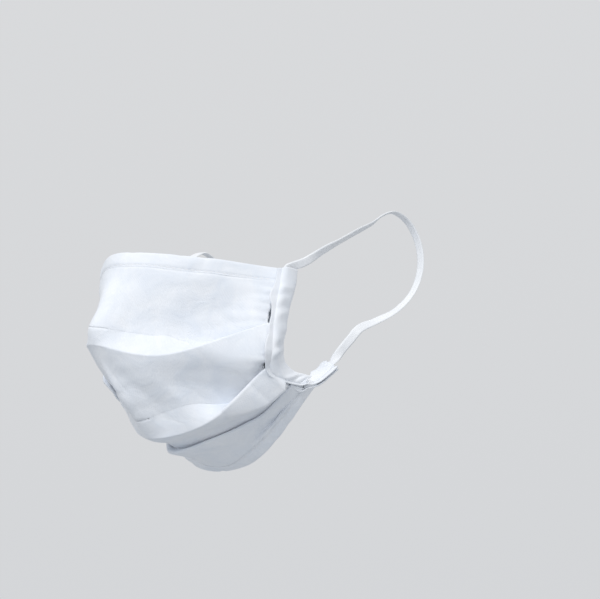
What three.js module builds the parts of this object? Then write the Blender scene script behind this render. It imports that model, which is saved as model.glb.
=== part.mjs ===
// A pleated cotton face mask in the form that it takes when worn, held at the bridge of the nose.
// Millimetres, +X the wearer's left, -Y forward, +Z up. The tables give places from the point midway
// between the notches of the ears; the group is then moved to put its origin at the bridge of the nose.
import * as THREE from "three";

const cloth = { panel: 1.0, hem: 1.8, casing: 1.0 };
const gap = 0.3;
const hemWidth = { top: 7, chin: 7, corner: 4.5 };
const foldRadius = 0.65;
const foldLead = 0.6;
const stations = 28;
const steps = { panel: 5, fold: 3, strip: 2 };

// One row for each line that runs across the mask: the wearer's right cheek, the middle of the face,
// the left cheek, and the seam of the left casing, which the right one mirrors.
const lines = {
  top: { right: [-33, -85.5, -4], centre: [0, -103.5, -0.5], left: [33, -85.5, -4], seam: [56, -50, -8] },
  ridge1: { right: [-27, -97, -43], centre: [0, -117, -45.5], left: [27, -97, -51.7], seam: [60, -59, -36.5] },
  ridge2: { right: [-31, -73, -70.5], centre: [0, -83, -87], left: [31, -72, -81.5], seam: [56, -57.8, -57.8] },
  ridge3: { right: [-33, -46, -75], centre: [0, -67, -93.5], left: [33, -44.5, -79], seam: [57.2, -41.3, -63.6] },
  bottom: { right: [-28, -33, -92], centre: [0, -29, -98.2], left: [28, -33, -92], seam: [61, -30, -62.5] },
};

// One row for each pleat, from the nose down. A pleat's strip runs from its valley out to its ridge.
// middle and turn are its fold angles in degrees at the middle and beside it; beyond flat it is pressed shut.
const pleats = [
  { ridge: "ridge1", above: "top", below: "ridge2", depth: 12, middle: 14, turn: 42, opens: 0.5, flat: 0.95 },
  { ridge: "ridge2", above: "ridge1", below: "ridge3", depth: 12, middle: 0, turn: 26, opens: 0.35, flat: 0.9 },
  { ridge: "ridge3", above: "ridge2", below: "bottom", depth: 4.5, middle: 150, turn: 160, opens: 0, flat: 0.4 },
];
const middleReach = 0.22;
const lean = 0.9;
const shutTurn = 178;
const partOpenSlack = 0.4;

const casing = { width: 10.8, thickness: 4.2, corner: 1.1, steps: 26 };
const elastic = { width: 4.5, thickness: 1.0, exit: 1.0 };

// Where the seam ends beyond the bottom line, and the casing at each line and at that end: the way
// across it, which curls inwards under the jaw, how far its middle lies inside the seam, and how far
// behind the seam it starts.
const seamTail = [65, -20.8, -54.1];
const casingWays = [
  { across: [0.17, 0.98, 0.02], inset: 1.3, clear: 0.6 },
  { across: [0.03, 0.98, 0.17], inset: 1.3, clear: 0.6 },
  { across: [0.02, 0.91, 0.41], inset: 0.4, clear: 1.6 },
  { across: [-0.16, 0.91, 0.37], inset: -1.1, clear: 1.5 },
  { across: [-0.73, 0.52, 0.43], inset: -1.9, clear: 1.8 },
  { across: [-0.95, 0.11, 0.28], inset: 0, clear: 0.6 },
];

// The left ear loop outside its casing, from the top of the casing over the ear to the lower end.
// turn twists the band in degrees: 0 lies flat on the cheek, 90 lies flat on the root of the ear.
const earLoop = [
  { x: 59, y: -35.6, z: -3.4, turn: 10 },
  { x: 62.5, y: -26.4, z: 3.1, turn: 30 },
  { x: 65.5, y: -18.6, z: 8, turn: 48 },
  { x: 68, y: -9.7, z: 13.5, turn: 50 },
  { x: 70, y: -1.5, z: 18.2, turn: 60 },
  { x: 71, y: 4.3, z: 22.7, turn: 75 },
  { x: 71.8, y: 11.5, z: 25.2, turn: 88 },
  { x: 72.6, y: 20, z: 21.5, turn: 90 },
  { x: 73.2, y: 26.5, z: 12, turn: 90 },
  { x: 73.3, y: 28, z: 0, turn: 90 },
  { x: 72, y: 24, z: -12.5, turn: 88 },
  { x: 69.5, y: 15, z: -22.5, turn: 75 },
  { x: 66, y: 5, z: -28.5, turn: 55 },
  { x: 63.5, y: -3.9, z: -33, turn: 35 },
  { x: 62.5, y: -8.8, z: -38.3, turn: 20 },
  { x: 61.3, y: -13.9, z: -44.2, turn: 10 },
];
const loopSteps = 68;

const vector = (xyz) => new THREE.Vector3(...xyz);
const mirrored = (p) => new THREE.Vector3(-p.x, p.y, p.z);
const unit = (v) => v.clone().normalize();
const across = (v, axis) => v.clone().addScaledVector(axis, -v.dot(axis)).normalize();
const mix = (a, b, share) => a.clone().lerp(b, share);
const radians = THREE.MathUtils.degToRad;

function smooth(value, low, high) {
  return THREE.MathUtils.smoothstep(value, low, high);
}

// A line from seam to seam as a curve; share runs from -1 at the right seam to 1 at the left one.
function crossingCurve({ right, centre, left, seam }) {
  const points = [mirrored(vector(seam)), vector(right), vector(centre), vector(left), vector(seam)];
  return new THREE.CatmullRomCurve3(points, false, "catmullrom");
}

const curves = Object.fromEntries(Object.entries(lines).map(([name, row]) => [name, crossingCurve(row)]));
const pointOn = (name, share) => curves[name].getPoint((share + 1) / 2);

function tangentOn(name, share) {
  const reach = 0.02;
  const from = pointOn(name, Math.max(share - reach, -1));
  return unit(pointOn(name, Math.min(share + reach, 1)).sub(from));
}

// The directions along a line, down the cloth and out of it, at one station.
function lineFrame(name, share, above, below) {
  const along = tangentOn(name, share);
  const down = across(pointOn(below, share).sub(pointOn(above, share)), along);
  const out = unit(new THREE.Vector3().crossVectors(down, along));
  return { at: pointOn(name, share), along, down, out };
}

// The path of one pleat at one station: valley fold, strip and ridge fold, as round folds.
function pleatPath(pleat, share) {
  const { at, down, out } = lineFrame(pleat.ridge, share, pleat.above, pleat.below);
  const shut = smooth(Math.abs(share), pleat.opens, pleat.flat);
  const opened = THREE.MathUtils.lerp(pleat.middle, pleat.turn, smooth(Math.abs(share), 0, middleReach));
  const turn = radians(THREE.MathUtils.lerp(opened, shutTurn, shut));
  const depth = pleat.depth * (1 - partOpenSlack * 4 * shut * (1 - shut));
  const offset = (n, d) => out.clone().multiplyScalar(n).addScaledVector(down, d);
  const way = (angle) => offset(Math.sin(angle), Math.cos(angle));
  const round = (angle) => offset(foldRadius * Math.cos(angle), -foldRadius * Math.sin(angle));
  const leanOf = (v) => Math.atan2(v.dot(out), v.dot(down)) * lean * (1 - shut);
  const coming = leanOf(at.clone().sub(pointOn(pleat.above, share)));
  const leaving = leanOf(pointOn(pleat.below, share).sub(at));
  const ridgeCentre = at.clone().addScaledVector(out, -foldRadius);
  const stripEnd = ridgeCentre.clone().add(round(turn));
  const stripStart = stripEnd.clone().addScaledVector(way(turn), -depth);
  const valleyCentre = stripStart.clone().add(round(turn));
  const hidden = depth * Math.max(0, -Math.cos(turn)) + foldLead;
  const points = [];
  for (let i = 0; i <= steps.fold; i++) {
    points.push(valleyCentre.clone().sub(round(THREE.MathUtils.lerp(coming, turn, i / steps.fold))));
  }
  for (let i = 1; i < steps.strip; i++) {
    points.push(mix(stripStart, stripEnd, i / steps.strip));
  }
  for (let i = 0; i <= steps.fold; i++) {
    points.push(ridgeCentre.clone().add(round(THREE.MathUtils.lerp(turn, leaving, i / steps.fold))));
  }
  const start = { at: points[0].clone().addScaledVector(way(coming), -hidden), down: way(coming) };
  const end = { at: points.at(-1).clone().addScaledVector(way(leaving), hidden), down: way(leaving) };
  return { start, end, points };
}

// A smooth fall of cloth from one point and direction to the next.
function fall(from, to, count) {
  const reach = from.at.distanceTo(to.at) / 3;
  const curve = new THREE.CubicBezierCurve3(
    from.at,
    from.at.clone().addScaledVector(from.down, reach),
    to.at.clone().addScaledVector(to.down, -reach),
    to.at,
  );
  return curve.getPoints(count);
}

function hemAt(edge, share) {
  const name = edge === "top" ? "top" : "bottom";
  const next = edge === "top" ? "ridge1" : "ridge3";
  const frame = edge === "top" ? lineFrame(name, share, name, next) : lineFrame(name, share, next, name);
  const width = edge === "top" ? hemWidth.top : THREE.MathUtils.lerp(hemWidth.chin, hemWidth.corner, Math.abs(share));
  return { ...frame, width };
}

// The mid-line of the panel from the top hem to the bottom hem at one station.
function panelPath(share) {
  const top = hemAt("top", share);
  const bottom = hemAt("bottom", share);
  const first = { at: top.at.clone().addScaledVector(top.down, top.width + gap), down: top.down };
  const last = { at: bottom.at.clone().addScaledVector(bottom.down, -bottom.width - gap), down: bottom.down };
  const path = [];
  let come = first;
  for (const pleat of pleats) {
    const fold = pleatPath(pleat, share);
    path.push(...fall(come, fold.start, steps.panel), ...fold.points);
    come = fold.end;
  }
  path.push(...fall(come, last, steps.panel));
  return path;
}

function hemPath(edge, share) {
  const { at, down, width } = hemAt(edge, share);
  const sign = edge === "top" ? 1 : -1;
  const far = at.clone().addScaledVector(down, sign * width);
  return sign > 0 ? [at, mix(at, far, 0.5), far] : [far, mix(at, far, 0.5), at];
}

// The seam of the left casing, and the direction from the seam across the casing at each point.
const seamRows = [...Object.values(lines).map((row) => vector(row.seam)), vector(seamTail)];
const seamCurve = new THREE.CatmullRomCurve3(seamRows, false, "catmullrom");
const seamWays = casingWays.map((row) => vector(row.across));

function seamFrame(share) {
  const along = seamCurve.getTangent(share);
  const place = share * (seamWays.length - 1);
  const row = Math.min(Math.floor(place), seamWays.length - 2);
  const part = smooth(place - row, 0, 1);
  const e = unit(mix(seamWays[row], seamWays[row + 1], part));
  const out = unit(new THREE.Vector3().crossVectors(along, e));
  const [near, far] = [casingWays[row], casingWays[row + 1]];
  const inset = THREE.MathUtils.lerp(near.inset, far.inset, part);
  const clear = THREE.MathUtils.lerp(near.clear, far.clear, part);
  return { at: seamCurve.getPoint(share), along, across: e, out, inset, clear };
}

// Moves a point of the panel's side edge on to the seam, less the gap.
function trimToSeam(point, left) {
  const p = left ? point.clone() : mirrored(point);
  let nearest = 0;
  const samples = 120;
  for (let i = 1; i <= samples; i++) {
    if (seamCurve.getPoint(i / samples).distanceTo(p) < seamCurve.getPoint(nearest).distanceTo(p)) {
      nearest = i / samples;
    }
  }
  const frame = seamFrame(nearest);
  const past = across(frame.across, frame.along);
  p.addScaledVector(past, -gap - p.clone().sub(frame.at).dot(past));
  return left ? p : mirrored(p);
}

// A grid of cloth points, one column for each station from the right seam to the left.
function clothGrid(pathAt) {
  const columns = [];
  for (let i = 0; i <= stations; i++) {
    columns.push(pathAt((2 * i) / stations - 1));
  }
  return columns;
}

function geometryOf(points, faces) {
  const geometry = new THREE.BufferGeometry();
  geometry.setAttribute("position", new THREE.Float32BufferAttribute(points.flatMap((p) => [p.x, p.y, p.z]), 3));
  geometry.setIndex(faces.flat());
  geometry.computeVertexNormals();
  return geometry;
}

const quad = (a, b, c, d) => [a, b, c, a, c, d];

// Turns a grid of points into a closed wall of even thickness.
function wall(columns, thickness) {
  const rows = columns[0].length;
  const normalAt = (i, j) => {
    const left = columns[Math.max(i - 1, 0)][j];
    const right = columns[Math.min(i + 1, columns.length - 1)][j];
    const up = columns[i][Math.max(j - 1, 0)];
    const down = columns[i][Math.min(j + 1, rows - 1)];
    return unit(new THREE.Vector3().crossVectors(down.clone().sub(up), right.clone().sub(left)));
  };
  const lastColumn = columns.length - 1;
  const trimmed = (p, i) => (i === 0 || i === lastColumn ? trimToSeam(p, i > 0) : p);
  const outer = [];
  const inner = [];
  columns.forEach((column, i) => {
    column.forEach((p, j) => {
      const n = normalAt(i, j);
      outer.push(trimmed(p.clone().addScaledVector(n, thickness / 2), i));
      inner.push(trimmed(p.clone().addScaledVector(n, -thickness / 2), i));
    });
  });
  const size = outer.length;
  const at = (i, j) => i * rows + j;
  const faces = [];
  for (let i = 0; i < lastColumn; i++) {
    for (let j = 0; j < rows - 1; j++) {
      faces.push(quad(at(i, j), at(i, j + 1), at(i + 1, j + 1), at(i + 1, j)));
      faces.push(quad(size + at(i, j), size + at(i + 1, j), size + at(i + 1, j + 1), size + at(i, j + 1)));
    }
    faces.push(quad(at(i, 0), at(i + 1, 0), size + at(i + 1, 0), size + at(i, 0)));
    faces.push(quad(at(i, rows - 1), size + at(i, rows - 1), size + at(i + 1, rows - 1), at(i + 1, rows - 1)));
  }
  for (let j = 0; j < rows - 1; j++) {
    faces.push(quad(at(0, j), size + at(0, j), size + at(0, j + 1), at(0, j + 1)));
    faces.push(quad(at(lastColumn, j), at(lastColumn, j + 1), size + at(lastColumn, j + 1), size + at(lastColumn, j)));
  }
  return geometryOf([...outer, ...inner], faces);
}

// The outline of a flat band: a rectangle with its corners cut.
function bandSection(width, thickness, corner) {
  const w = width / 2;
  const t = thickness / 2;
  if (!corner) return [[-w, -t], [w, -t], [w, t], [-w, t]];
  const c = corner;
  return [[c - w, -t], [w - c, -t], [w, c - t], [w, t - c], [w - c, t], [c - w, t], [-w, t - c], [-w, c - t]];
}

function ring(frame, section) {
  return section.map(([w, n]) => frame.at.clone().addScaledVector(frame.across, w).addScaledVector(frame.out, n));
}

function stitchRings(faces, a, b, count, flipped) {
  for (let k = 0; k < count; k++) {
    const next = (k + 1) % count;
    const face = flipped ? quad(a + k, b + k, b + next, a + next) : quad(a + k, a + next, b + next, b + k);
    faces.push(face);
  }
}

// A band with a tunnel through it, open at both ends.
function tunnelBand(frames, outerSection, innerSection) {
  const count = outerSection.length;
  const points = [];
  const faces = [];
  frames.forEach((frame) => points.push(...ring(frame, outerSection), ...ring(frame, innerSection)));
  for (let i = 0; i < frames.length - 1; i++) {
    const here = 2 * count * i;
    const next = here + 2 * count;
    stitchRings(faces, here, next, count, false);
    stitchRings(faces, here + count, next + count, count, true);
  }
  stitchRings(faces, 0, count, count, true);
  const last = 2 * count * (frames.length - 1);
  stitchRings(faces, last, last + count, count, false);
  return geometryOf(points, faces);
}

// A band that closes on itself.
function closedBand(frames, section) {
  const count = section.length;
  const faces = [];
  frames.forEach((_, i) => stitchRings(faces, count * i, count * ((i + 1) % frames.length), count, true));
  return geometryOf(frames.flatMap((frame) => ring(frame, section)), faces);
}

function casingCentre(share) {
  const frame = seamFrame(share);
  const reach = frame.clear + casing.width / 2;
  const at = frame.at.clone().addScaledVector(frame.across, reach).addScaledVector(frame.out, -frame.inset);
  return { ...frame, at };
}

function casingFrames() {
  const frames = [];
  for (let i = 0; i <= casing.steps; i++) frames.push(casingCentre(i / casing.steps));
  return frames;
}

// The stops of the elastic between the two ends of its casing, each with the way its width points.
function earStops() {
  const [upper, lower] = [casingCentre(0), casingCentre(1)];
  const leave = (end, way) => end.at.clone().addScaledVector(end.along, way * elastic.exit);
  const route = earLoop.map((row) => vector([row.x, row.y, row.z]));
  const points = [upper.at, leave(upper, -1), ...route, leave(lower, 1), lower.at];
  return points.map((at, i) => {
    const end = i < 2 ? upper : i > points.length - 3 ? lower : null;
    if (end) return { at, across: end.across };
    const forward = unit(points[i + 1].clone().sub(points[i - 1]));
    const out = across(new THREE.Vector3(1, 0, 0), forward);
    const flat = new THREE.Vector3().crossVectors(forward, out).normalize();
    return { at, across: flat.applyAxisAngle(forward, radians(earLoop[i - 2].turn)) };
  });
}

// The frames of the elastic: up through the casing, round the ear and back in at the lower end.
function loopFrames() {
  const stops = earStops();
  const path = new THREE.CatmullRomCurve3(stops.map((stop) => stop.at), false, "centripetal");
  const outside = [];
  for (let i = 1; i < loopSteps; i++) {
    const place = (i / loopSteps) * (stops.length - 1);
    const row = Math.floor(place);
    const along = path.getTangent(i / loopSteps);
    const e = across(mix(stops[row].across, stops[row + 1].across, smooth(place - row, 0, 1)), along);
    outside.push({ at: path.getPoint(i / loopSteps), across: e, out: unit(new THREE.Vector3().crossVectors(e, along)) });
  }
  return [...casingFrames().reverse(), ...outside];
}

// The same piece on the wearer's right.
function mirrorGeometry(geometry) {
  const copy = geometry.clone();
  copy.scale(-1, 1, 1);
  const index = copy.index.array;
  for (let i = 0; i < index.length; i += 3) {
    [index[i + 1], index[i + 2]] = [index[i + 2], index[i + 1]];
  }
  copy.computeVertexNormals();
  return copy;
}

function cottonMaterial(color) {
  return new THREE.MeshStandardMaterial({ color, roughness: 0.9, metalness: 0, side: THREE.DoubleSide });
}

function elasticMaterial() {
  return new THREE.MeshStandardMaterial({ color: 0xf1f3f6, roughness: 0.75, metalness: 0 });
}

// The mask is held at the bridge of the nose, where the inner face of the top hem sits: the origin.
const bridge = hemAt("top", 0);
const noseSeat = bridge.at.clone().addScaledVector(bridge.down, hemWidth.top / 2).addScaledVector(bridge.out, -cloth.hem / 2);
const mask = new THREE.Group();
mask.position.copy(noseSeat).negate();

function add(name, geometry, material) {
  const mesh = new THREE.Mesh(geometry, material);
  mesh.name = name;
  mask.add(mesh);
}

const casingOuter = bandSection(casing.width, casing.thickness, casing.corner);
const tunnel = { width: casing.width - 2 * cloth.casing, thickness: casing.thickness - 2 * cloth.casing };
const casingInner = bandSection(tunnel.width, tunnel.thickness, casing.corner / 2);
const casingLeft = tunnelBand(casingFrames(), casingOuter, casingInner);
const loopLeft = closedBand(loopFrames(), bandSection(elastic.width, elastic.thickness));

add("pleated_panel", wall(clothGrid(panelPath), cloth.panel), cottonMaterial(0xe9eef5));
add("top_hem", wall(clothGrid((share) => hemPath("top", share)), cloth.hem), cottonMaterial(0xedf1f7));
add("bottom_hem", wall(clothGrid((share) => hemPath("bottom", share)), cloth.hem), cottonMaterial(0xedf1f7));
add("side_casing_left", casingLeft, cottonMaterial(0xf0f3f8));
add("side_casing_right", mirrorGeometry(casingLeft), cottonMaterial(0xf0f3f8));
add("ear_loop_left", loopLeft, elasticMaterial());
add("ear_loop_right", mirrorGeometry(loopLeft), elasticMaterial());

export default mask;
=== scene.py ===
import math
import bmesh
import bpy
import numpy as np
from mathutils import Matrix, Vector, noise


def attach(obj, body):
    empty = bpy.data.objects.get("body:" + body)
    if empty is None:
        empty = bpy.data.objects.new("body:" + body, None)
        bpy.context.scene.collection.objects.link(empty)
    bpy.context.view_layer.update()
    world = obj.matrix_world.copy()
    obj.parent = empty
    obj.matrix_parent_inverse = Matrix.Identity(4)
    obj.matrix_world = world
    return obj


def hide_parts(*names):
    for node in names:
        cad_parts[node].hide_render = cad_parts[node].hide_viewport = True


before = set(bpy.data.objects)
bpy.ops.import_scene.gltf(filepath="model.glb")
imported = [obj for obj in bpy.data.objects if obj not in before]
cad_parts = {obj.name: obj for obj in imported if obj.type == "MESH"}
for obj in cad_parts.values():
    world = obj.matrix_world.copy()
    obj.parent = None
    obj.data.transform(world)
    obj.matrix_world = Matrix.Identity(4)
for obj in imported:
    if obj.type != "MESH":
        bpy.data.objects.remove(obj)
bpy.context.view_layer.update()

# Sizes in millimetres. The tables give places from a point midway between the ear loops, and SEAT is
# where the origin of the frame, the nose seat, lies in them.
MM = 0.001
SEAT = np.array([0.0, -103.644, -4.111])

# One row for each line across the mask: the right half, the middle, the left half, and the seam of the
# left casing, which the right one mirrors. The pleats sit a little askew.
LINES = {
    "top": {
        "right": (-33, -85.5, -4), "centre": (0, -103.5, -0.5), "left": (33, -85.5, -4),
        "seam": (56, -50, -8),
    },
    "ridge1": {
        "right": (-27, -97, -43), "centre": (0, -117, -45.5), "left": (27, -97, -51.7),
        "seam": (60, -59, -36.5),
    },
    "ridge2": {
        "right": (-31, -73, -70.5), "centre": (0, -83, -87), "left": (31, -72, -81.5),
        "seam": (56, -57.8, -57.8),
    },
    "ridge3": {
        "right": (-33, -46, -75), "centre": (0, -67, -93.5), "left": (33, -44.5, -79),
        "seam": (57.2, -41.3, -63.6),
    },
    "bottom": {
        "right": (-28, -33, -92), "centre": (0, -29, -98.2), "left": (28, -33, -92),
        "seam": (61, -30, -62.5),
    },
}

# One row for each pleat, from the top down. A pleat's strip runs from its valley out to its ridge.
# middle and turn are its fold angles in degrees at the middle and beside it; past flat it is shut.
# eased is the share of its depth that is left at the middle, where wear stretches it.
PLEATS = [
    {
        "ridge": "ridge1", "above": "top", "below": "ridge2", "depth": 12, "eased": 0.62,
        "middle": 14, "turn": 42, "opens": 0.5, "flat": 0.95,
    },
    {
        "ridge": "ridge2", "above": "ridge1", "below": "ridge3", "depth": 12, "eased": 0.9,
        "middle": 0, "turn": 26, "opens": 0.35, "flat": 0.9,
    },
    {
        "ridge": "ridge3", "above": "ridge2", "below": "bottom", "depth": 4.5, "eased": 0.6,
        "middle": 150, "turn": 160, "opens": 0, "flat": 0.4,
    },
]
MIDDLE_REACH = 0.22
EASED_REACH = 0.35
LEAN = 0.9
SHUT_TURN = 178
PART_OPEN_SLACK = 0.4
FOLD_RADIUS = 0.6
FOLD_LEAD = 0.6
CLOTH = 0.8
STATIONS = 236
STEPS = {"panel": 27, "fold": 6, "strip": 8, "hem": 22, "hem_turn": 8, "lip": 6, "tube": 48, "loop": 300}

HEM = {
    "top": 7, "chin": 7, "corner": 4.5, "fold": 0.45, "lap": 1.2, "stitch": 0.9,
    "plump": 0.18, "back_plump": 0.2, "groove": 0.3, "groove_width": 0.5,
}
CASING = {
    "width": 10.8, "wall": 0.6, "room": 1.5, "stitch": 1.6, "lip": 0.9, "back_lap": 0.5,
    "square": 2.4, "round": 0.55, "wave": 0.35, "gather": 0.4, "gather_length": 8.5,
    "gather_fade": 0.6, "torn": 1.6,
}
ELASTIC = {
    "width": 4.5, "thickness": 0.9, "exit": 1.0, "ribs": 6, "rib": 0.1,
    "rib_points": 4, "shoulder": 0.35, "crown": 0.12, "edge": 0.08,
}
STITCH = {"pitch": 3.0, "length": 2.4, "width": 0.5, "height": 0.32, "proud": 0.2, "clear": 0.1}
TUCK = 0.5

# The seam of the left casing, from the top to the bottom: its points after those of LINES, and the way
# from the seam across the casing, which curls inwards at its lower end. inset is how far the middle of
# the casing lies inside the seam, clear how far behind the seam its tunnel starts.
SEAM_TAIL = (65, -20.8, -54.1)
CASING_WAYS = [
    {"beside": "top", "x": 0.17, "y": 0.98, "z": 0.02, "inset": 1.3, "clear": 0.6},
    {"beside": "ridge1", "x": 0.03, "y": 0.98, "z": 0.17, "inset": 1.3, "clear": 0.6},
    {"beside": "ridge2", "x": 0.02, "y": 0.91, "z": 0.41, "inset": 0.4, "clear": 1.6},
    {"beside": "ridge3", "x": -0.16, "y": 0.91, "z": 0.37, "inset": -1.1, "clear": 1.5},
    {"beside": "bottom", "x": -0.73, "y": 0.52, "z": 0.43, "inset": -1.9, "clear": 1.8},
    {"beside": "tail", "x": -0.95, "y": 0.11, "z": 0.28, "inset": 0.0, "clear": 0.6},
]
SEAM_COUNT = 220

# The left ear loop outside its casing. turn twists the band in degrees: at 0 its flat side faces
# sideways, at 90 it faces the inside of the loop.
EAR_LOOP = [
    {"x": 59, "y": -35.6, "z": -3.4, "turn": 10},
    {"x": 62.5, "y": -26.4, "z": 3.1, "turn": 30},
    {"x": 65.5, "y": -18.6, "z": 8, "turn": 48},
    {"x": 68, "y": -9.7, "z": 13.5, "turn": 50},
    {"x": 70, "y": -1.5, "z": 18.2, "turn": 60},
    {"x": 71, "y": 4.3, "z": 22.7, "turn": 75},
    {"x": 71.8, "y": 11.5, "z": 25.2, "turn": 88},
    {"x": 72.6, "y": 20, "z": 21.5, "turn": 90},
    {"x": 73.2, "y": 26.5, "z": 12, "turn": 90},
    {"x": 73.3, "y": 28, "z": 0, "turn": 90},
    {"x": 72, "y": 24, "z": -12.5, "turn": 88},
    {"x": 69.5, "y": 15, "z": -22.5, "turn": 75},
    {"x": 66, "y": 5, "z": -28.5, "turn": 55},
    {"x": 63.5, "y": -3.9, "z": -33, "turn": 35},
    {"x": 62.5, "y": -8.8, "z": -38.3, "turn": 20},
    {"x": 61.3, "y": -13.9, "z": -44.2, "turn": 10},
]

# Bumps and dents that wear and the pull of the elastic leave in the cloth: the middle of each, its
# reach in each direction, and how far the cloth moves outwards there.
HOLLOW_CENTRE = np.array([0.0, -20.0, -45.0])
DENTS = [
    {"at": (-3, -118, -38), "reach": (12, 12, 6), "rise": 2.8},
    {"at": (33, -84, -62), "reach": (9, 12, 9), "rise": -2.4},
    {"at": (10, -98, -66), "reach": (7, 10, 12), "rise": 1.2},
    {"at": (-12, -100, -62), "reach": (14, 14, 12), "rise": 2.0},
    {"at": (38, -78, -24), "reach": (12, 14, 10), "rise": -1.3},
    {"at": (-36, -80, -22), "reach": (12, 14, 9), "rise": -1.5},
    {"at": (17, -100, -22), "reach": (8, 10, 14), "rise": 0.9},
    {"at": (12, -50, -95), "reach": (12, 10, 8), "rise": -1.6},
    {"at": (-14, -52, -92), "reach": (12, 10, 8), "rise": -1.4},
]
DENT_PLACES = np.array([row["at"] for row in DENTS], float)
DENT_REACHES = np.array([row["reach"] for row in DENTS], float)
DENT_RISES = np.array([row["rise"] for row in DENTS])

# The puckers beside a gathered seam, and how far along the mask they start and are full.
PUCKER = {
    "length": 5.0, "height": 0.5, "reach": 6.0, "from": 0.72, "full": 0.95, "fade_in": 0.1,
    "cap": 1.0, "pull": 0.75, "right_shift": 60,
}
COVER_SHARE = 0.985
COVER_SPREAD = 3
COVER_BLUR = 8

# The front lip of the casing laps further over the panel where the gathers pull it in.
LIP_PULLS = [{"l": 15.0, "reach": 5.0, "more": 2.2}, {"l": 42.0, "reach": 5.0, "more": 2.8}]
RIGHT_CASING_SHIFT = 137.0

# The camera looks at TARGET from this side and distance; the target lies at this place in the picture.
VIEW = {"azimuth": 50.0, "elevation": -9.0, "distance": 1400.0, "pixels_per_mm": 2.05}
PICTURE = {"width": 600, "height": 599, "target_u": 187.0, "target_v": 346.5}
TARGET = np.array([0.0, -60.0, -40.0])
SENSOR = 36.0

# The stage, in metres. The sky's stops run from straight down, 0, to straight up, 1.
FLOOR = {"half": 12, "height": -0.45, "colour": "#C0C3C6", "roughness": 0.9}
KEY_LIGHT = {"direction": (0.5, -0.75, 0.6), "distance": 1.6, "size": 0.9, "power": 12.5}
SKY = {"low": 0.3, "low_colour": "#5A5D63", "level": 0.5, "level_colour": "#E9EBEE", "strength": 0.8}
WHITE = "#FFFFFF"


def unit(v):
    return v / np.linalg.norm(v)


def across_of(v, axis):
    return unit(v - axis * np.dot(v, axis))


def mirrored(v, side):
    """A point or direction moved to a side of the mask: 1 is the left, where the tables are, -1 the right."""
    return v * np.array([side, 1, 1])


def mix(a, b, share):
    return a + (b - a) * share


def smooth(value, low, high):
    t = min(max((value - low) / (high - low), 0.0), 1.0)
    return t * t * (3 - 2 * t)


def wave(p, scale, seed):
    """Smooth noise from -1 to 1 at a point; scale is about how many waves lie in a millimetre."""
    return noise.noise(Vector(p) * scale + Vector(seed))


def wave_along(x, y, z):
    return noise.noise(Vector((x, y, z)))


def lengths_along(points):
    """The length of a line of points from its start to each of them."""
    return np.concatenate([[0], np.cumsum(np.linalg.norm(np.diff(points, axis=0), axis=1))])


def catmull(points, place, centripetal=False):
    """A smooth curve through points; place runs from 0 to the number of spans."""
    last = len(points) - 2
    i = min(int(place), last)
    t = place - i
    p1, p2 = points[i], points[i + 1]
    p0 = points[i - 1] if i else 2 * p1 - p2
    p3 = points[i + 2] if i < last else 2 * p2 - p1
    knots = [1.0, 1.0, 1.0]
    if centripetal:
        knots = [max(np.linalg.norm(b - a), 1e-6) ** 0.5 for a, b in ((p0, p1), (p1, p2), (p2, p3))]
    k0, k1, k2 = knots
    v1 = ((p1 - p0) / k0 - (p2 - p0) / (k0 + k1) + (p2 - p1) / k1) * k1
    v2 = ((p2 - p1) / k1 - (p3 - p1) / (k1 + k2) + (p3 - p2) / k2) * k1
    return (2 * p1 - 2 * p2 + v1 + v2) * t**3 + (3 * p2 - 3 * p1 - 2 * v1 - v2) * t**2 + v1 * t + p1


def crossing_points(row):
    seam = np.array(row["seam"], float)
    inner = [np.array(row[key], float) for key in ("right", "centre", "left")]
    return [mirrored(seam, -1)] + inner + [seam]


CROSSINGS = {name: crossing_points(row) for name, row in LINES.items()}


def point_on(name, share):
    """A point of a line; share runs from -1 at the right seam to 1 at the left one."""
    return catmull(CROSSINGS[name], (share + 1) * 2)


def tangent_on(name, share):
    reach = 0.02
    return unit(point_on(name, min(share + reach, 1)) - point_on(name, max(share - reach, -1)))


def line_frame(name, share, above, below):
    along = tangent_on(name, share)
    down = across_of(point_on(below, share) - point_on(above, share), along)
    return {"at": point_on(name, share), "along": along, "down": down, "out": unit(np.cross(down, along))}


def pleat_path(pleat, share):
    """One pleat at one station: valley fold, strip and ridge fold, as round folds."""
    f = line_frame(pleat["ridge"], share, pleat["above"], pleat["below"])
    at, down, out = f["at"], f["down"], f["out"]
    shut = smooth(abs(share), pleat["opens"], pleat["flat"])
    opened = mix(pleat["middle"], pleat["turn"], smooth(abs(share), 0, MIDDLE_REACH))
    turn = math.radians(mix(opened, SHUT_TURN, shut))
    depth = pleat["depth"] * (1 - PART_OPEN_SLACK * 4 * shut * (1 - shut))
    depth *= mix(pleat["eased"], 1, smooth(abs(share), 0, EASED_REACH))

    def way(angle):
        return out * math.sin(angle) + down * math.cos(angle)

    def round_at(angle):
        return (out * math.cos(angle) - down * math.sin(angle)) * FOLD_RADIUS

    def lean_of(v):
        return math.atan2(np.dot(v, out), np.dot(v, down)) * LEAN * (1 - shut)

    coming = min(lean_of(at - point_on(pleat["above"], share)), turn)
    leaving = min(lean_of(point_on(pleat["below"], share) - at), turn)
    ridge_centre = at - out * FOLD_RADIUS
    strip_end = ridge_centre + round_at(turn)
    strip_start = strip_end - way(turn) * depth
    valley_centre = strip_start + round_at(turn)
    hidden = depth * max(0, -math.cos(turn)) + FOLD_LEAD
    folds = [i / STEPS["fold"] for i in range(STEPS["fold"] + 1)]
    points = [valley_centre - round_at(mix(coming, turn, i)) for i in folds]
    points += [mix(strip_start, strip_end, i / STEPS["strip"]) for i in range(1, STEPS["strip"])]
    points += [ridge_centre + round_at(mix(turn, leaving, i)) for i in folds]
    start = {"at": points[0] - way(coming) * hidden, "down": way(coming)}
    return start, points, {"at": points[-1] + way(leaving) * hidden, "down": way(leaving)}


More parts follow.
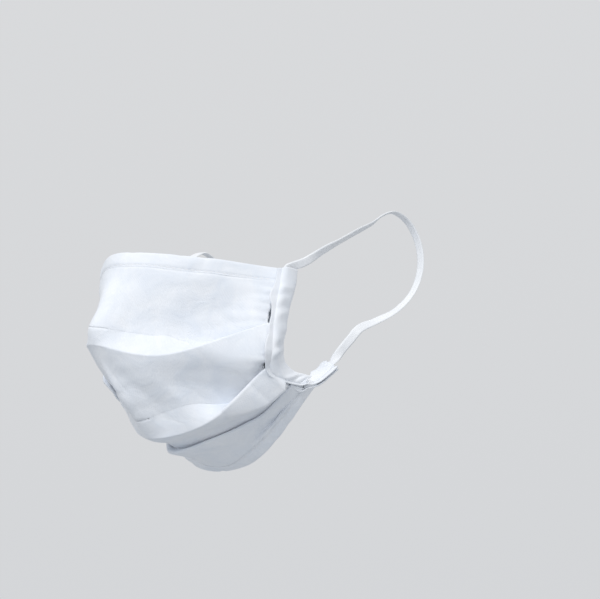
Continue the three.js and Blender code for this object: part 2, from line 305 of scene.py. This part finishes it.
def fall(start, end, count):
    """A smooth fall of cloth from one point and direction to the next."""
    reach = np.linalg.norm(end["at"] - start["at"]) / 3
    a, b = start["at"] + start["down"] * reach, end["at"] - end["down"] * reach
    points = []
    for i in range(count + 1):
        t = i / count
        k = 1 - t
        points.append(start["at"] * k**3 + a * 3 * k * k * t + b * 3 * k * t * t + end["at"] * t**3)
    return points


def hem_at(edge, share):
    if edge == "top":
        return line_frame("top", share, "top", "ridge1"), HEM["top"]
    return line_frame("bottom", share, "ridge3", "bottom"), mix(HEM["chin"], HEM["corner"], abs(share))


def panel_path(share):
    """The mid-line of the panel from the top hem to the bottom hem at one station."""
    top, top_width = hem_at("top", share)
    bottom, bottom_width = hem_at("bottom", share)
    come = {"at": top["at"] + top["down"] * top_width, "down": top["down"]}
    last = {"at": bottom["at"] - bottom["down"] * bottom_width, "down": bottom["down"]}
    path = []
    for pleat in PLEATS:
        start, points, end = pleat_path(pleat, share)
        path += fall(come, start, STEPS["panel"]) + points
        come = end
    return path + fall(come, last, STEPS["panel"])


SEAM_ROWS = [np.array(row["seam"], float) for row in LINES.values()] + [np.array(SEAM_TAIL, float)]
SEAM_WAYS = [np.array([row["x"], row["y"], row["z"]]) for row in CASING_WAYS]


def seam_frame(share):
    """The left casing's seam: its point, and the directions along, across and out of the casing."""
    reach = 0.004
    spans = len(SEAM_ROWS) - 1
    place = share * spans
    row = min(int(place), spans - 1)
    low, high = max(share - reach, 0), min(share + reach, 1)
    along = unit(catmull(SEAM_ROWS, high * spans) - catmull(SEAM_ROWS, low * spans))
    between = smooth(place - row, 0, 1)
    across = unit(mix(SEAM_WAYS[row], SEAM_WAYS[row + 1], between))
    inset = mix(CASING_WAYS[row]["inset"], CASING_WAYS[row + 1]["inset"], between)
    clear = mix(CASING_WAYS[row]["clear"], CASING_WAYS[row + 1]["clear"], between)
    out = unit(np.cross(along, across))
    at = catmull(SEAM_ROWS, place)
    return {"at": at, "along": along, "across": across, "out": out, "inset": inset, "clear": clear}


SEAM = [seam_frame(i / SEAM_COUNT) for i in range(SEAM_COUNT + 1)]
SEAM_PLACES = np.array([f["at"] for f in SEAM])
SEAM_LENGTH = lengths_along(SEAM_PLACES)


def nearest_on_seam(p):
    return int(np.argmin(((SEAM_PLACES - p) ** 2).sum(axis=1)))


def trim_to_seam(point, side):
    """Moves a point of a side edge to TUCK past the casing's seam."""
    p = mirrored(point, side)
    f = SEAM[nearest_on_seam(p)]
    past = across_of(f["across"], f["along"])
    p = p + past * (TUCK - np.dot(p - f["at"], past))
    return mirrored(p, side)


def crumpled(p):
    """A point of the cloth moved by the dents and soft waves that run through all its layers together."""
    way = unit(p - HOLLOW_CENTRE)
    broad = wave(p, 0.028, (7.3, 1.9, 4.4))
    fine = wave(p, 0.085, (3.1, 0.4, 8.2))
    line = wave(p, 0.045, (2.2, 6.1, 0.7))
    crease = -0.4 * math.exp(-((line / 0.1) ** 2)) * smooth(broad, -0.25, 0.35)
    drag = wave((p[0] * 0.05, p[1] * 0.05, p[2] * 0.22), 1.0, (0.3, 5.5, 3.8))
    dent = (DENT_RISES * np.exp(-(((p - DENT_PLACES) / DENT_REACHES) ** 2).sum(axis=1))).sum()
    return p + way * (1.1 * broad + 0.3 * fine + 0.3 * drag + crease + dent)


def gathers(l, length):
    """The height, from -1 to 1, of the gathers beside the seam at one length along it."""
    return math.sin(2 * math.pi * l / length + 5 * wave_along(l * 0.07, 8.4, 1.1))


def puckered(p, share, side):
    """A point of the panel drawn down to the seam, with the puckers that the gathered seam pulls in it."""
    if abs(share) < PUCKER["from"]:
        return p
    q = mirrored(p, side)
    i = nearest_on_seam(q)
    f = SEAM[i]
    high = np.dot(q - f["at"], f["out"]) - PUCKER["cap"]
    near = smooth(abs(share), PUCKER["from"], PUCKER["full"])
    q = q - f["out"] * max(high, 0) * PUCKER["pull"] * near
    fade = math.exp(-np.linalg.norm(q - f["at"]) / PUCKER["reach"])
    l = SEAM_LENGTH[i] + PUCKER["right_shift"] * (side < 0)
    rise = PUCKER["height"] * fade * gathers(l, PUCKER["length"])
    rise *= smooth(abs(share), PUCKER["from"], PUCKER["from"] + PUCKER["fade_in"])
    return mirrored(q + f["out"] * rise, side)


def seam_cover():
    """How far the layers of the panel stand out and in from the seam at each of its points."""
    high, low = np.zeros(SEAM_COUNT + 1), np.zeros(SEAM_COUNT + 1)
    for p in panel_path(COVER_SHARE):
        p = puckered(p, COVER_SHARE, 1)
        i = nearest_on_seam(p)
        rise = np.dot(p - SEAM[i]["at"], SEAM[i]["out"])
        near = slice(max(i - COVER_SPREAD, 0), i + COVER_SPREAD + 1)
        high[near] = np.maximum(high[near], rise)
        low[near] = np.minimum(low[near], rise)
    blur = np.hanning(2 * COVER_BLUR + 1)
    blur = blur / blur.sum()
    padded = [np.pad(levels, COVER_BLUR, mode="edge") for levels in (high, low)]
    return [np.convolve(levels, blur, mode="valid") for levels in padded]


COVER_FRONT, COVER_BACK = seam_cover()


def in_frame(p):
    """A point of the tables in the frame's own place, in metres."""
    return Vector((np.asarray(p) - SEAT) * MM)


def sheet_mesh(rows, close_rows=False, close_ring=False):
    """A grid whose points are moved on to rows[i][j], with its flat lengths in metres as a UV map."""
    p = np.array(rows)
    if close_rows:
        p = np.concatenate([p, p[:1]])
    if close_ring:
        p = np.concatenate([p, p[:, :1]], axis=1)
    count, length = p.shape[:2]
    along = np.linalg.norm(np.diff(p, axis=0), axis=2).mean(axis=1)
    down = np.linalg.norm(np.diff(p, axis=1), axis=2).mean(axis=0)
    u = np.concatenate([[0], np.cumsum(along)]) * MM
    v = np.concatenate([[0], np.cumsum(down)]) * MM
    bm = bmesh.new()
    layer = bm.loops.layers.uv.new("cloth")
    bmesh.ops.create_grid(bm, x_segments=count - 1, y_segments=length - 1, size=1)
    spots = {}
    for k, vert in enumerate(bm.verts):
        j, i = divmod(k, count)
        vert.co = in_frame(p[i, j])
        spots[vert] = (u[i], v[j])
    for face in bm.faces:
        for loop in face.loops:
            loop[layer].uv = spots[loop.vert]
    if close_rows or close_ring:
        bmesh.ops.remove_doubles(bm, verts=bm.verts, dist=1e-7)
    return bm


def add_piece(name, bm, material, nodes=()):
    mesh = bpy.data.meshes.new(name)
    bmesh.ops.recalc_face_normals(bm, faces=bm.faces)
    bm.to_mesh(mesh)
    bm.free()
    for polygon in mesh.polygons:
        polygon.use_smooth = True
    piece = bpy.data.objects.new(name, mesh)
    bpy.context.scene.collection.objects.link(piece)
    mesh.materials.append(material)
    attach(piece, "root")
    if nodes:
        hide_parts(*nodes)
    return piece


def thicken(piece, thickness):
    wall = piece.modifiers.new("wall", "SOLIDIFY")
    wall.thickness = thickness * MM
    wall.offset = 0
    wall.use_rim = True


def linear(hex_colour):
    """A linear RGBA colour from an sRGB hex value."""
    parts = [int(hex_colour[i : i + 2], 16) / 255 for i in (1, 3, 5)]
    return [c / 12.92 if c <= 0.04045 else ((c + 0.055) / 1.055) ** 2.4 for c in parts] + [1.0]


def add_node(tree, kind, settings=None, inputs=None):
    """Adds a node; settings are its properties, inputs its sockets' values or the sockets that feed them."""
    node = tree.nodes.new(kind)
    for key, value in (settings or {}).items():
        setattr(node, key, value)
    for key, value in (inputs or {}).items():
        if isinstance(value, bpy.types.NodeSocket):
            tree.links.new(value, node.inputs[key])
        else:
            node.inputs[key].default_value = value
    return node


# Noise scales, in waves to the metre: slubs about 2.4 mm apart, soft wrinkles about 13 mm, and the
# twist of a thread about 0.33 mm.
SLUBS = 420.0
WRINKLES = 75.0
TWIST = 3000.0


def woven(name, colour, painted_shade, thread, thread_depth, crumple_depth, rough, sheen):
    """A woven white cloth: over and under threads in the cloth's own directions, slubs and soft creases, and
    a darker, cooler painted shade mixed into its colour by the same noise that raises the creases.
    """
    material = bpy.data.materials.new(name)
    material.use_nodes = True
    tree = material.node_tree
    tree.nodes.clear()
    uv = add_node(tree, "ShaderNodeUVMap", {"uv_map": "cloth"})
    place = add_node(tree, "ShaderNodeTexCoord").outputs["Object"]
    split = add_node(tree, "ShaderNodeSeparateXYZ", None, {0: uv.outputs[0]})
    waves = []
    for axis in (0, 1):
        turns = {0: split.outputs[axis], 1: math.pi / (thread[axis] * MM)}
        angle = add_node(tree, "ShaderNodeMath", {"operation": "MULTIPLY"}, turns)
        sine = add_node(tree, "ShaderNodeMath", {"operation": "SINE"}, {0: angle.outputs[0]})
        waves.append(sine.outputs[0])
    weave = add_node(tree, "ShaderNodeMath", {"operation": "MULTIPLY"}, {0: waves[0], 1: waves[1]})
    slub = add_node(tree, "ShaderNodeTexNoise", None, {0: place, "Scale": SLUBS, "Detail": 3.0})
    soft = add_node(tree, "ShaderNodeTexNoise", None, {
        0: place,
        "Scale": WRINKLES,
        "Detail": 7.0,
        "Roughness": 0.62,
        "Distortion": 0.6,
    })
    spread = {"Value": soft.outputs[0], "From Min": 0.3, "From Max": 0.7}
    share = add_node(tree, "ShaderNodeMapRange", None, spread)
    # Painted shade: the colour is mixed towards the darker, cooler painted shade colour where the soft crease
    # noise is high.
    tint = add_node(tree, "ShaderNodeMix", {"data_type": "RGBA"}, {0: share.outputs[0]})
    tint.inputs[6].default_value = linear(colour)
    tint.inputs[7].default_value = linear(painted_shade)
    threads = {0: weave.outputs[0], 1: 0.5, 2: slub.outputs[0]}
    height = add_node(tree, "ShaderNodeMath", {"operation": "MULTIPLY_ADD"}, threads)
    fine = add_node(tree, "ShaderNodeBump", None, {
        "Strength": 1.0,
        "Distance": thread_depth * MM,
        "Height": height.outputs[0],
    })
    creases = add_node(tree, "ShaderNodeBump", None, {
        "Strength": 1.0,
        "Distance": crumple_depth * MM,
        "Height": soft.outputs[0],
        "Normal": fine.outputs[0],
    })
    shader = add_node(tree, "ShaderNodeBsdfPrincipled", None, {
        "Base Color": tint.outputs[2],
        "Normal": creases.outputs[0],
        "Roughness": rough,
        "Specular IOR Level": 0.25,
        "Sheen Weight": sheen,
        "Sheen Roughness": 0.5,
    })
    add_node(tree, "ShaderNodeOutputMaterial", None, {"Surface": shader.outputs[0]})
    return material


def spun(name, colour, rough):
    """Twisted thread: fine lines of light and dark from a noise through the object."""
    material = bpy.data.materials.new(name)
    material.use_nodes = True
    tree = material.node_tree
    place = add_node(tree, "ShaderNodeTexCoord")
    twist = add_node(tree, "ShaderNodeTexNoise", None, {0: place.outputs["Object"], "Scale": TWIST})
    bump = add_node(tree, "ShaderNodeBump", None, {"Distance": 0.08 * MM, "Height": twist.outputs[0]})
    shader = tree.nodes["Principled BSDF"]
    shader.inputs["Base Color"].default_value = linear(colour)
    shader.inputs["Roughness"].default_value = rough
    tree.links.new(bump.outputs[0], shader.inputs["Normal"])
    return material


# Bleached plain-weave cotton, washed and pressed: matt and faintly fuzzy. Its real threads lie about
# 0.3 mm apart; they are drawn 0.6 mm apart, so that they show.
# Its second colour, #E3E9F2, is a painted shade, mixed in over the soft creases.
COTTON = woven("bleached plain-weave cotton", "#F0F3F8", "#E3E9F2", (0.6, 0.6), 0.05, 0.75, 0.88, 0.2)

# Spun cotton sewing thread, twisted and slightly glossy beside the cloth.
THREAD = spun("spun cotton sewing thread", "#EDEFF3", 0.7)

# Flat braided elastic, rubber cores inside polyester yarn: fine ribs along it and a soft shine.
# Its second colour, #E9ECF1, is a painted shade, mixed in by the crease noise.
BRAID = woven("flat braided elastic", "#F1F3F6", "#E9ECF1", (0.75, 1.2), 0.03, 0.03, 0.66, 0.1)


def stations():
    """Each station across the mask: its share, its side, and whether it is at a seam."""
    for i in range(STATIONS + 1):
        share = 2 * i / STATIONS - 1
        yield share, 1 if share > 0 else -1, i in (0, STATIONS)


def pleated_panel():
    """The pleated cloth between the hems and the casings."""
    rows = []
    for share, side, at_seam in stations():
        row = panel_path(share)
        if at_seam:
            row = [trim_to_seam(p, side) for p in row]
        rows.append([crumpled(puckered(p, share, side)) for p in row])
    piece = add_piece("panel_cloth", sheet_mesh(rows), COTTON, ["pleated_panel"])
    thicken(piece, CLOTH)
    return piece


def add_stitches(name, seams):
    """Rounded stitches along each seam, a list of points with the way out of the cloth at each."""
    bm = bmesh.new()
    for points, outs in seams:
        lengths = lengths_along(points)
        for k in range(1, int(lengths[-1] / STITCH["pitch"])):
            at = np.searchsorted(lengths, k * STITCH["pitch"])
            along = unit(points[min(at + 1, len(points) - 1)] - points[at - 1])
            out = across_of(outs[at], along)
            lean = unit(np.cross(out, along))
            axes = [lean * STITCH["width"], out * STITCH["height"], along * STITCH["length"]]
            place = Matrix([list(v) for v in np.array(axes).T * MM / 2]).to_4x4()
            place.translation = in_frame(points[at] + out * STITCH["height"] * STITCH["proud"])
            bmesh.ops.create_uvsphere(bm, u_segments=8, v_segments=6, radius=1, matrix=place)
    add_piece(name, bm, THREAD)


def hem_offset(s, width):
    """How far the front of a hem stands out, at a distance from its edge: plump, with a stitch groove."""
    plump = HEM["plump"] * math.sin(math.pi * min(s / width, 1))
    groove = math.exp(-(((width - HEM["stitch"] - s) / HEM["groove_width"]) ** 2))
    return plump - HEM["groove"] * groove


def hem_section(width):
    """A hem folded to the inside: distances from the edge and offsets outwards of its mid-line."""
    fold, steps, turns = HEM["fold"], STEPS["hem"], STEPS["hem_turn"]
    section = []
    for i in range(steps):
        s = mix(width, fold, i / steps)
        section.append((s, hem_offset(s, width)))
    for i in range(turns + 1):
        angle = math.pi * i / turns
        section.append((fold - fold * math.sin(angle), fold * math.cos(angle) - fold))
    for i in range(1, steps + 1):
        s = mix(fold, width + HEM["lap"], i / steps)
        section.append((s, -2 * fold - HEM["back_plump"] * math.sin(math.pi * min(s / width, 1))))
    return section


def folded_hem(edge):
    """The turned edge of the cloth, with a row of stitches on its front and its back."""
    rows, front, back, outs = [], [], [], []
    inward = 1 if edge == "top" else -1
    for share, side, at_seam in stations():
        f, width = hem_at(edge, share)
        row = [f["at"] + f["down"] * s * inward + f["out"] * o for s, o in hem_section(width)]
        if at_seam:
            row = [trim_to_seam(p, side) for p in row]
        rows.append([crumpled(p) for p in row])
        s = width - HEM["stitch"]
        on = f["at"] + f["down"] * s * inward
        front.append(crumpled(on + f["out"] * (hem_offset(s, width) + CLOTH / 2)))
        back.append(crumpled(on - f["out"] * (2 * HEM["fold"] + CLOTH / 2 + STITCH["clear"])))
        outs.append(f["out"])
    name = edge + "_hem"
    piece = add_piece(name + "_cloth", sheet_mesh(rows), COTTON, [name])
    thicken(piece, CLOTH)
    seams = [(np.array(front), outs), (np.array(back), [-out for out in outs])]
    add_stitches(name + "_stitches", seams)


def casing_section(i, l):
    """The mid-line of the casing cloth at one point of the seam: distances across and offsets out."""
    f = SEAM[i]
    soft = wave_along(l * 0.13, 5.2, 1.7) + 0.5 * wave_along(l * 0.31, 1.2, 9.7)
    lip = -CASING["lip"] + CASING["lip"] * wave_along(l * 0.16, 2.2, 3.7)
    for pull in LIP_PULLS:
        lip -= pull["more"] * math.exp(-(((SEAM_LENGTH[i] - pull["l"]) / pull["reach"]) ** 2))
    layer = (CLOTH + CASING["wall"]) / 2 + 0.05
    front, back = COVER_FRONT[i] + layer, COVER_BACK[i] - layer
    start = CASING["stitch"]
    end = f["clear"] + CASING["width"] + 0.5 * soft
    middle, half = (start + end) / 2, (end - start) / 2
    section = [(mix(lip, start, k / STEPS["lip"]), front) for k in range(STEPS["lip"])]
    half_way = STEPS["tube"] // 2
    for k in range(STEPS["tube"] + 1):
        side = 1 if k <= half_way else -1
        e = middle + half * math.cos(math.pi * (1 - k / half_way))
        behind = smooth(e, start, end)
        rise = max(1 - abs((e - middle) / half) ** CASING["square"], 0) ** CASING["round"]
        gather = CASING["gather"] * gathers(l + side * 2, CASING["gather_length"])
        room = CASING["room"] + CASING["wave"] * soft + gather * (1 - CASING["gather_fade"] * behind)
        lean = mix(front if side > 0 else back, -f["inset"], behind)
        section.append((e, lean + side * room * rise))
    for k in range(1, STEPS["lip"] + 1):
        section.append((mix(start, -CASING["back_lap"], k / STEPS["lip"]), back))
    return section


def side_casing(side, name):
    """The cloth folded back over the elastic and stitched along the seam, gathered a little by it."""
    rows, front, back, outs = [], [], [], []
    front_stitch = STEPS["lip"]
    back_stitch = STEPS["lip"] + STEPS["tube"] + 1
    for i, f in enumerate(SEAM):
        l = SEAM_LENGTH[i] + (0 if side > 0 else RIGHT_CASING_SHIFT)
        torn = CASING["torn"] * smooth(i / SEAM_COUNT, 0.9, 1)
        row = []
        for k, (e, o) in enumerate(casing_section(i, l)):
            p = f["at"] + f["across"] * e + f["out"] * o
            p = p + f["along"] * wave_along(k * 0.35, l * 0.02, 3.3) * torn
            row.append(mirrored(crumpled(p), side))
        rows.append(row)
        surface = mirrored(f["out"] * CASING["wall"] / 2, side)
        front.append(row[front_stitch] + surface)
        back.append(row[back_stitch] - surface)
        outs.append(mirrored(f["out"], side))
    piece = add_piece(name + "_cloth", sheet_mesh(rows), COTTON, [name])
    thicken(piece, CASING["wall"])
    seams = [(np.array(front), outs), (np.array(back), [-out for out in outs])]
    add_stitches(name + "_stitches", seams)


def casing_centre(f):
    e = f["clear"] + CASING["width"] / 2
    return f["at"] + f["across"] * e - f["out"] * f["inset"]


def ear_stops():
    """The stops of the elastic between the two ends of its casing, and the way its width points."""
    upper, lower = SEAM[0], SEAM[-1]
    route = [np.array([row["x"], row["y"], row["z"]], float) for row in EAR_LOOP]
    ends = [casing_centre(upper), casing_centre(upper) - upper["along"] * ELASTIC["exit"]]
    returns = [casing_centre(lower) + lower["along"] * ELASTIC["exit"], casing_centre(lower)]
    points = ends + route + returns
    ways = [upper["across"], upper["across"]]
    for i, row in enumerate(EAR_LOOP):
        forward = unit(points[i + 3] - points[i + 1])
        out = across_of(np.array([1.0, 0, 0]), forward)
        twist = Matrix.Rotation(math.radians(row["turn"]), 3, Vector(forward))
        ways.append(np.array(twist @ Vector(np.cross(forward, out))))
    return points, ways + [lower["across"], lower["across"]]


def loop_frames():
    """Frames of the elastic: up through the casing, round its loop and back in at the lower end."""
    frames = [(casing_centre(f), f["across"], f["out"]) for f in reversed(SEAM[::2])]
    points, ways = ear_stops()
    spans = len(points) - 1
    reach = 0.01
    for i in range(1, STEPS["loop"]):
        place = i / STEPS["loop"] * spans
        row = int(place)
        at = catmull(points, place, True)
        along = unit(catmull(points, place + reach, True) - catmull(points, place - reach, True))
        e = across_of(mix(ways[row], ways[row + 1], smooth(place - row, 0, 1)), along)
        frames.append((at, e, unit(np.cross(e, along))))
    return frames


def band_section():
    """The outline of the flat elastic: a ribbed face, a round edge, and the same again behind."""
    w, t = ELASTIC["width"] / 2, ELASTIC["thickness"] / 2
    points = []
    count = ELASTIC["ribs"] * ELASTIC["rib_points"]
    for i in range(count + 1):
        s = 2 * i / count - 1
        rib = ELASTIC["rib"] * abs(math.sin(math.pi * i / ELASTIC["rib_points"]))
        points.append(((w - ELASTIC["shoulder"]) * s, t - ELASTIC["rib"] + rib - ELASTIC["crown"] * s**6))
    points += [(w - ELASTIC["edge"], t * 0.45), (w, 0.0)]
    return points + [(-a, -b) for a, b in points]


def ear_loop(side, name):
    section = band_section()
    rows = [[mirrored(at + e * a + out * b, side) for a, b in section] for at, e, out in loop_frames()]
    bm = sheet_mesh(rows, close_rows=True, close_ring=True)
    add_piece(name + "_braid", bm, BRAID, [name])


SIDES = {"left": 1, "right": -1}
panel = pleated_panel()
for edge in ("top", "bottom"):
    folded_hem(edge)
for name, side in SIDES.items():
    side_casing(side, "side_casing_" + name)
for name, side in SIDES.items():
    ear_loop(side, "ear_loop_" + name)


def camera_axes():
    a, e = math.radians(VIEW["azimuth"]), math.radians(VIEW["elevation"])
    back = np.array([math.sin(a) * math.cos(e), -math.cos(a) * math.cos(e), math.sin(e)])
    right = np.array([math.cos(a), math.sin(a), 0.0])
    return right, np.cross(back, right), back


def add_camera():
    right, up, back = camera_axes()
    from_left = (PICTURE["width"] / 2 - PICTURE["target_u"]) / VIEW["pixels_per_mm"]
    from_top = (PICTURE["target_v"] - PICTURE["height"] / 2) / VIEW["pixels_per_mm"]
    aim = TARGET + right * from_left + up * from_top
    eye = TARGET + back * VIEW["distance"]
    data = bpy.data.cameras.new("camera")
    camera = bpy.data.objects.new("camera", data)
    bpy.context.scene.collection.objects.link(camera)
    camera.location = in_frame(eye)
    camera.rotation_mode = "QUATERNION"
    camera.rotation_quaternion = Vector(aim - eye).to_track_quat("-Z", "Y")
    data.sensor_width = SENSOR
    data.lens = data.sensor_width * VIEW["pixels_per_mm"] * VIEW["distance"] / PICTURE["width"]
    data.clip_start = 0.05
    data.clip_end = 50
    bpy.context.scene.camera = camera


def add_key_light():
    data = bpy.data.lights.new("key", "AREA")
    data.shape = "DISK"
    data.size = KEY_LIGHT["size"]
    data.energy = KEY_LIGHT["power"]
    data.color = linear(WHITE)[:3]
    light = bpy.data.objects.new("key", data)
    way = Vector(KEY_LIGHT["direction"]).normalized()
    light.location = in_frame(TARGET) + way * KEY_LIGHT["distance"]
    light.rotation_mode = "QUATERNION"
    light.rotation_quaternion = (-way).to_track_quat("-Z", "Y")
    bpy.context.scene.collection.objects.link(light)


def add_floor():
    bm = bmesh.new()
    bmesh.ops.create_grid(bm, x_segments=1, y_segments=1, size=FLOOR["half"])
    bmesh.ops.translate(bm, verts=bm.verts, vec=(0, 0, FLOOR["height"]))
    mesh = bpy.data.meshes.new("floor")
    bm.to_mesh(mesh)
    bm.free()
    floor = bpy.data.objects.new("floor", mesh)
    bpy.context.scene.collection.objects.link(floor)
    material = bpy.data.materials.new("pale matt floor")
    material.use_nodes = True
    shader = material.node_tree.nodes["Principled BSDF"]
    shader.inputs["Base Color"].default_value = linear(FLOOR["colour"])
    shader.inputs["Roughness"].default_value = FLOOR["roughness"]
    mesh.materials.append(material)


def set_world():
    """A plain studio: white above, nearly white at the height of the object and dark grey below."""
    world = bpy.data.worlds.new("studio")
    world.use_nodes = True
    tree = world.node_tree
    place = add_node(tree, "ShaderNodeTexCoord")
    split = add_node(tree, "ShaderNodeSeparateXYZ", None, {0: place.outputs["Generated"]})
    height = add_node(tree, "ShaderNodeMapRange", None, {"Value": split.outputs[2], "From Min": -1.0})
    ramp = add_node(tree, "ShaderNodeValToRGB", None, {0: height.outputs[0]})
    ramp.color_ramp.elements[0].position = SKY["low"]
    ramp.color_ramp.elements[0].color = linear(SKY["low_colour"])
    ramp.color_ramp.elements[1].color = linear(WHITE)
    ramp.color_ramp.elements.new(SKY["level"]).color = linear(SKY["level_colour"])
    background = tree.nodes["Background"]
    tree.links.new(ramp.outputs[0], background.inputs["Color"])
    background.inputs["Strength"].default_value = SKY["strength"]
    bpy.context.scene.world = world
    bpy.context.scene.view_settings.view_transform = "Standard"


add_camera()
add_floor()
set_world()
add_key_light()
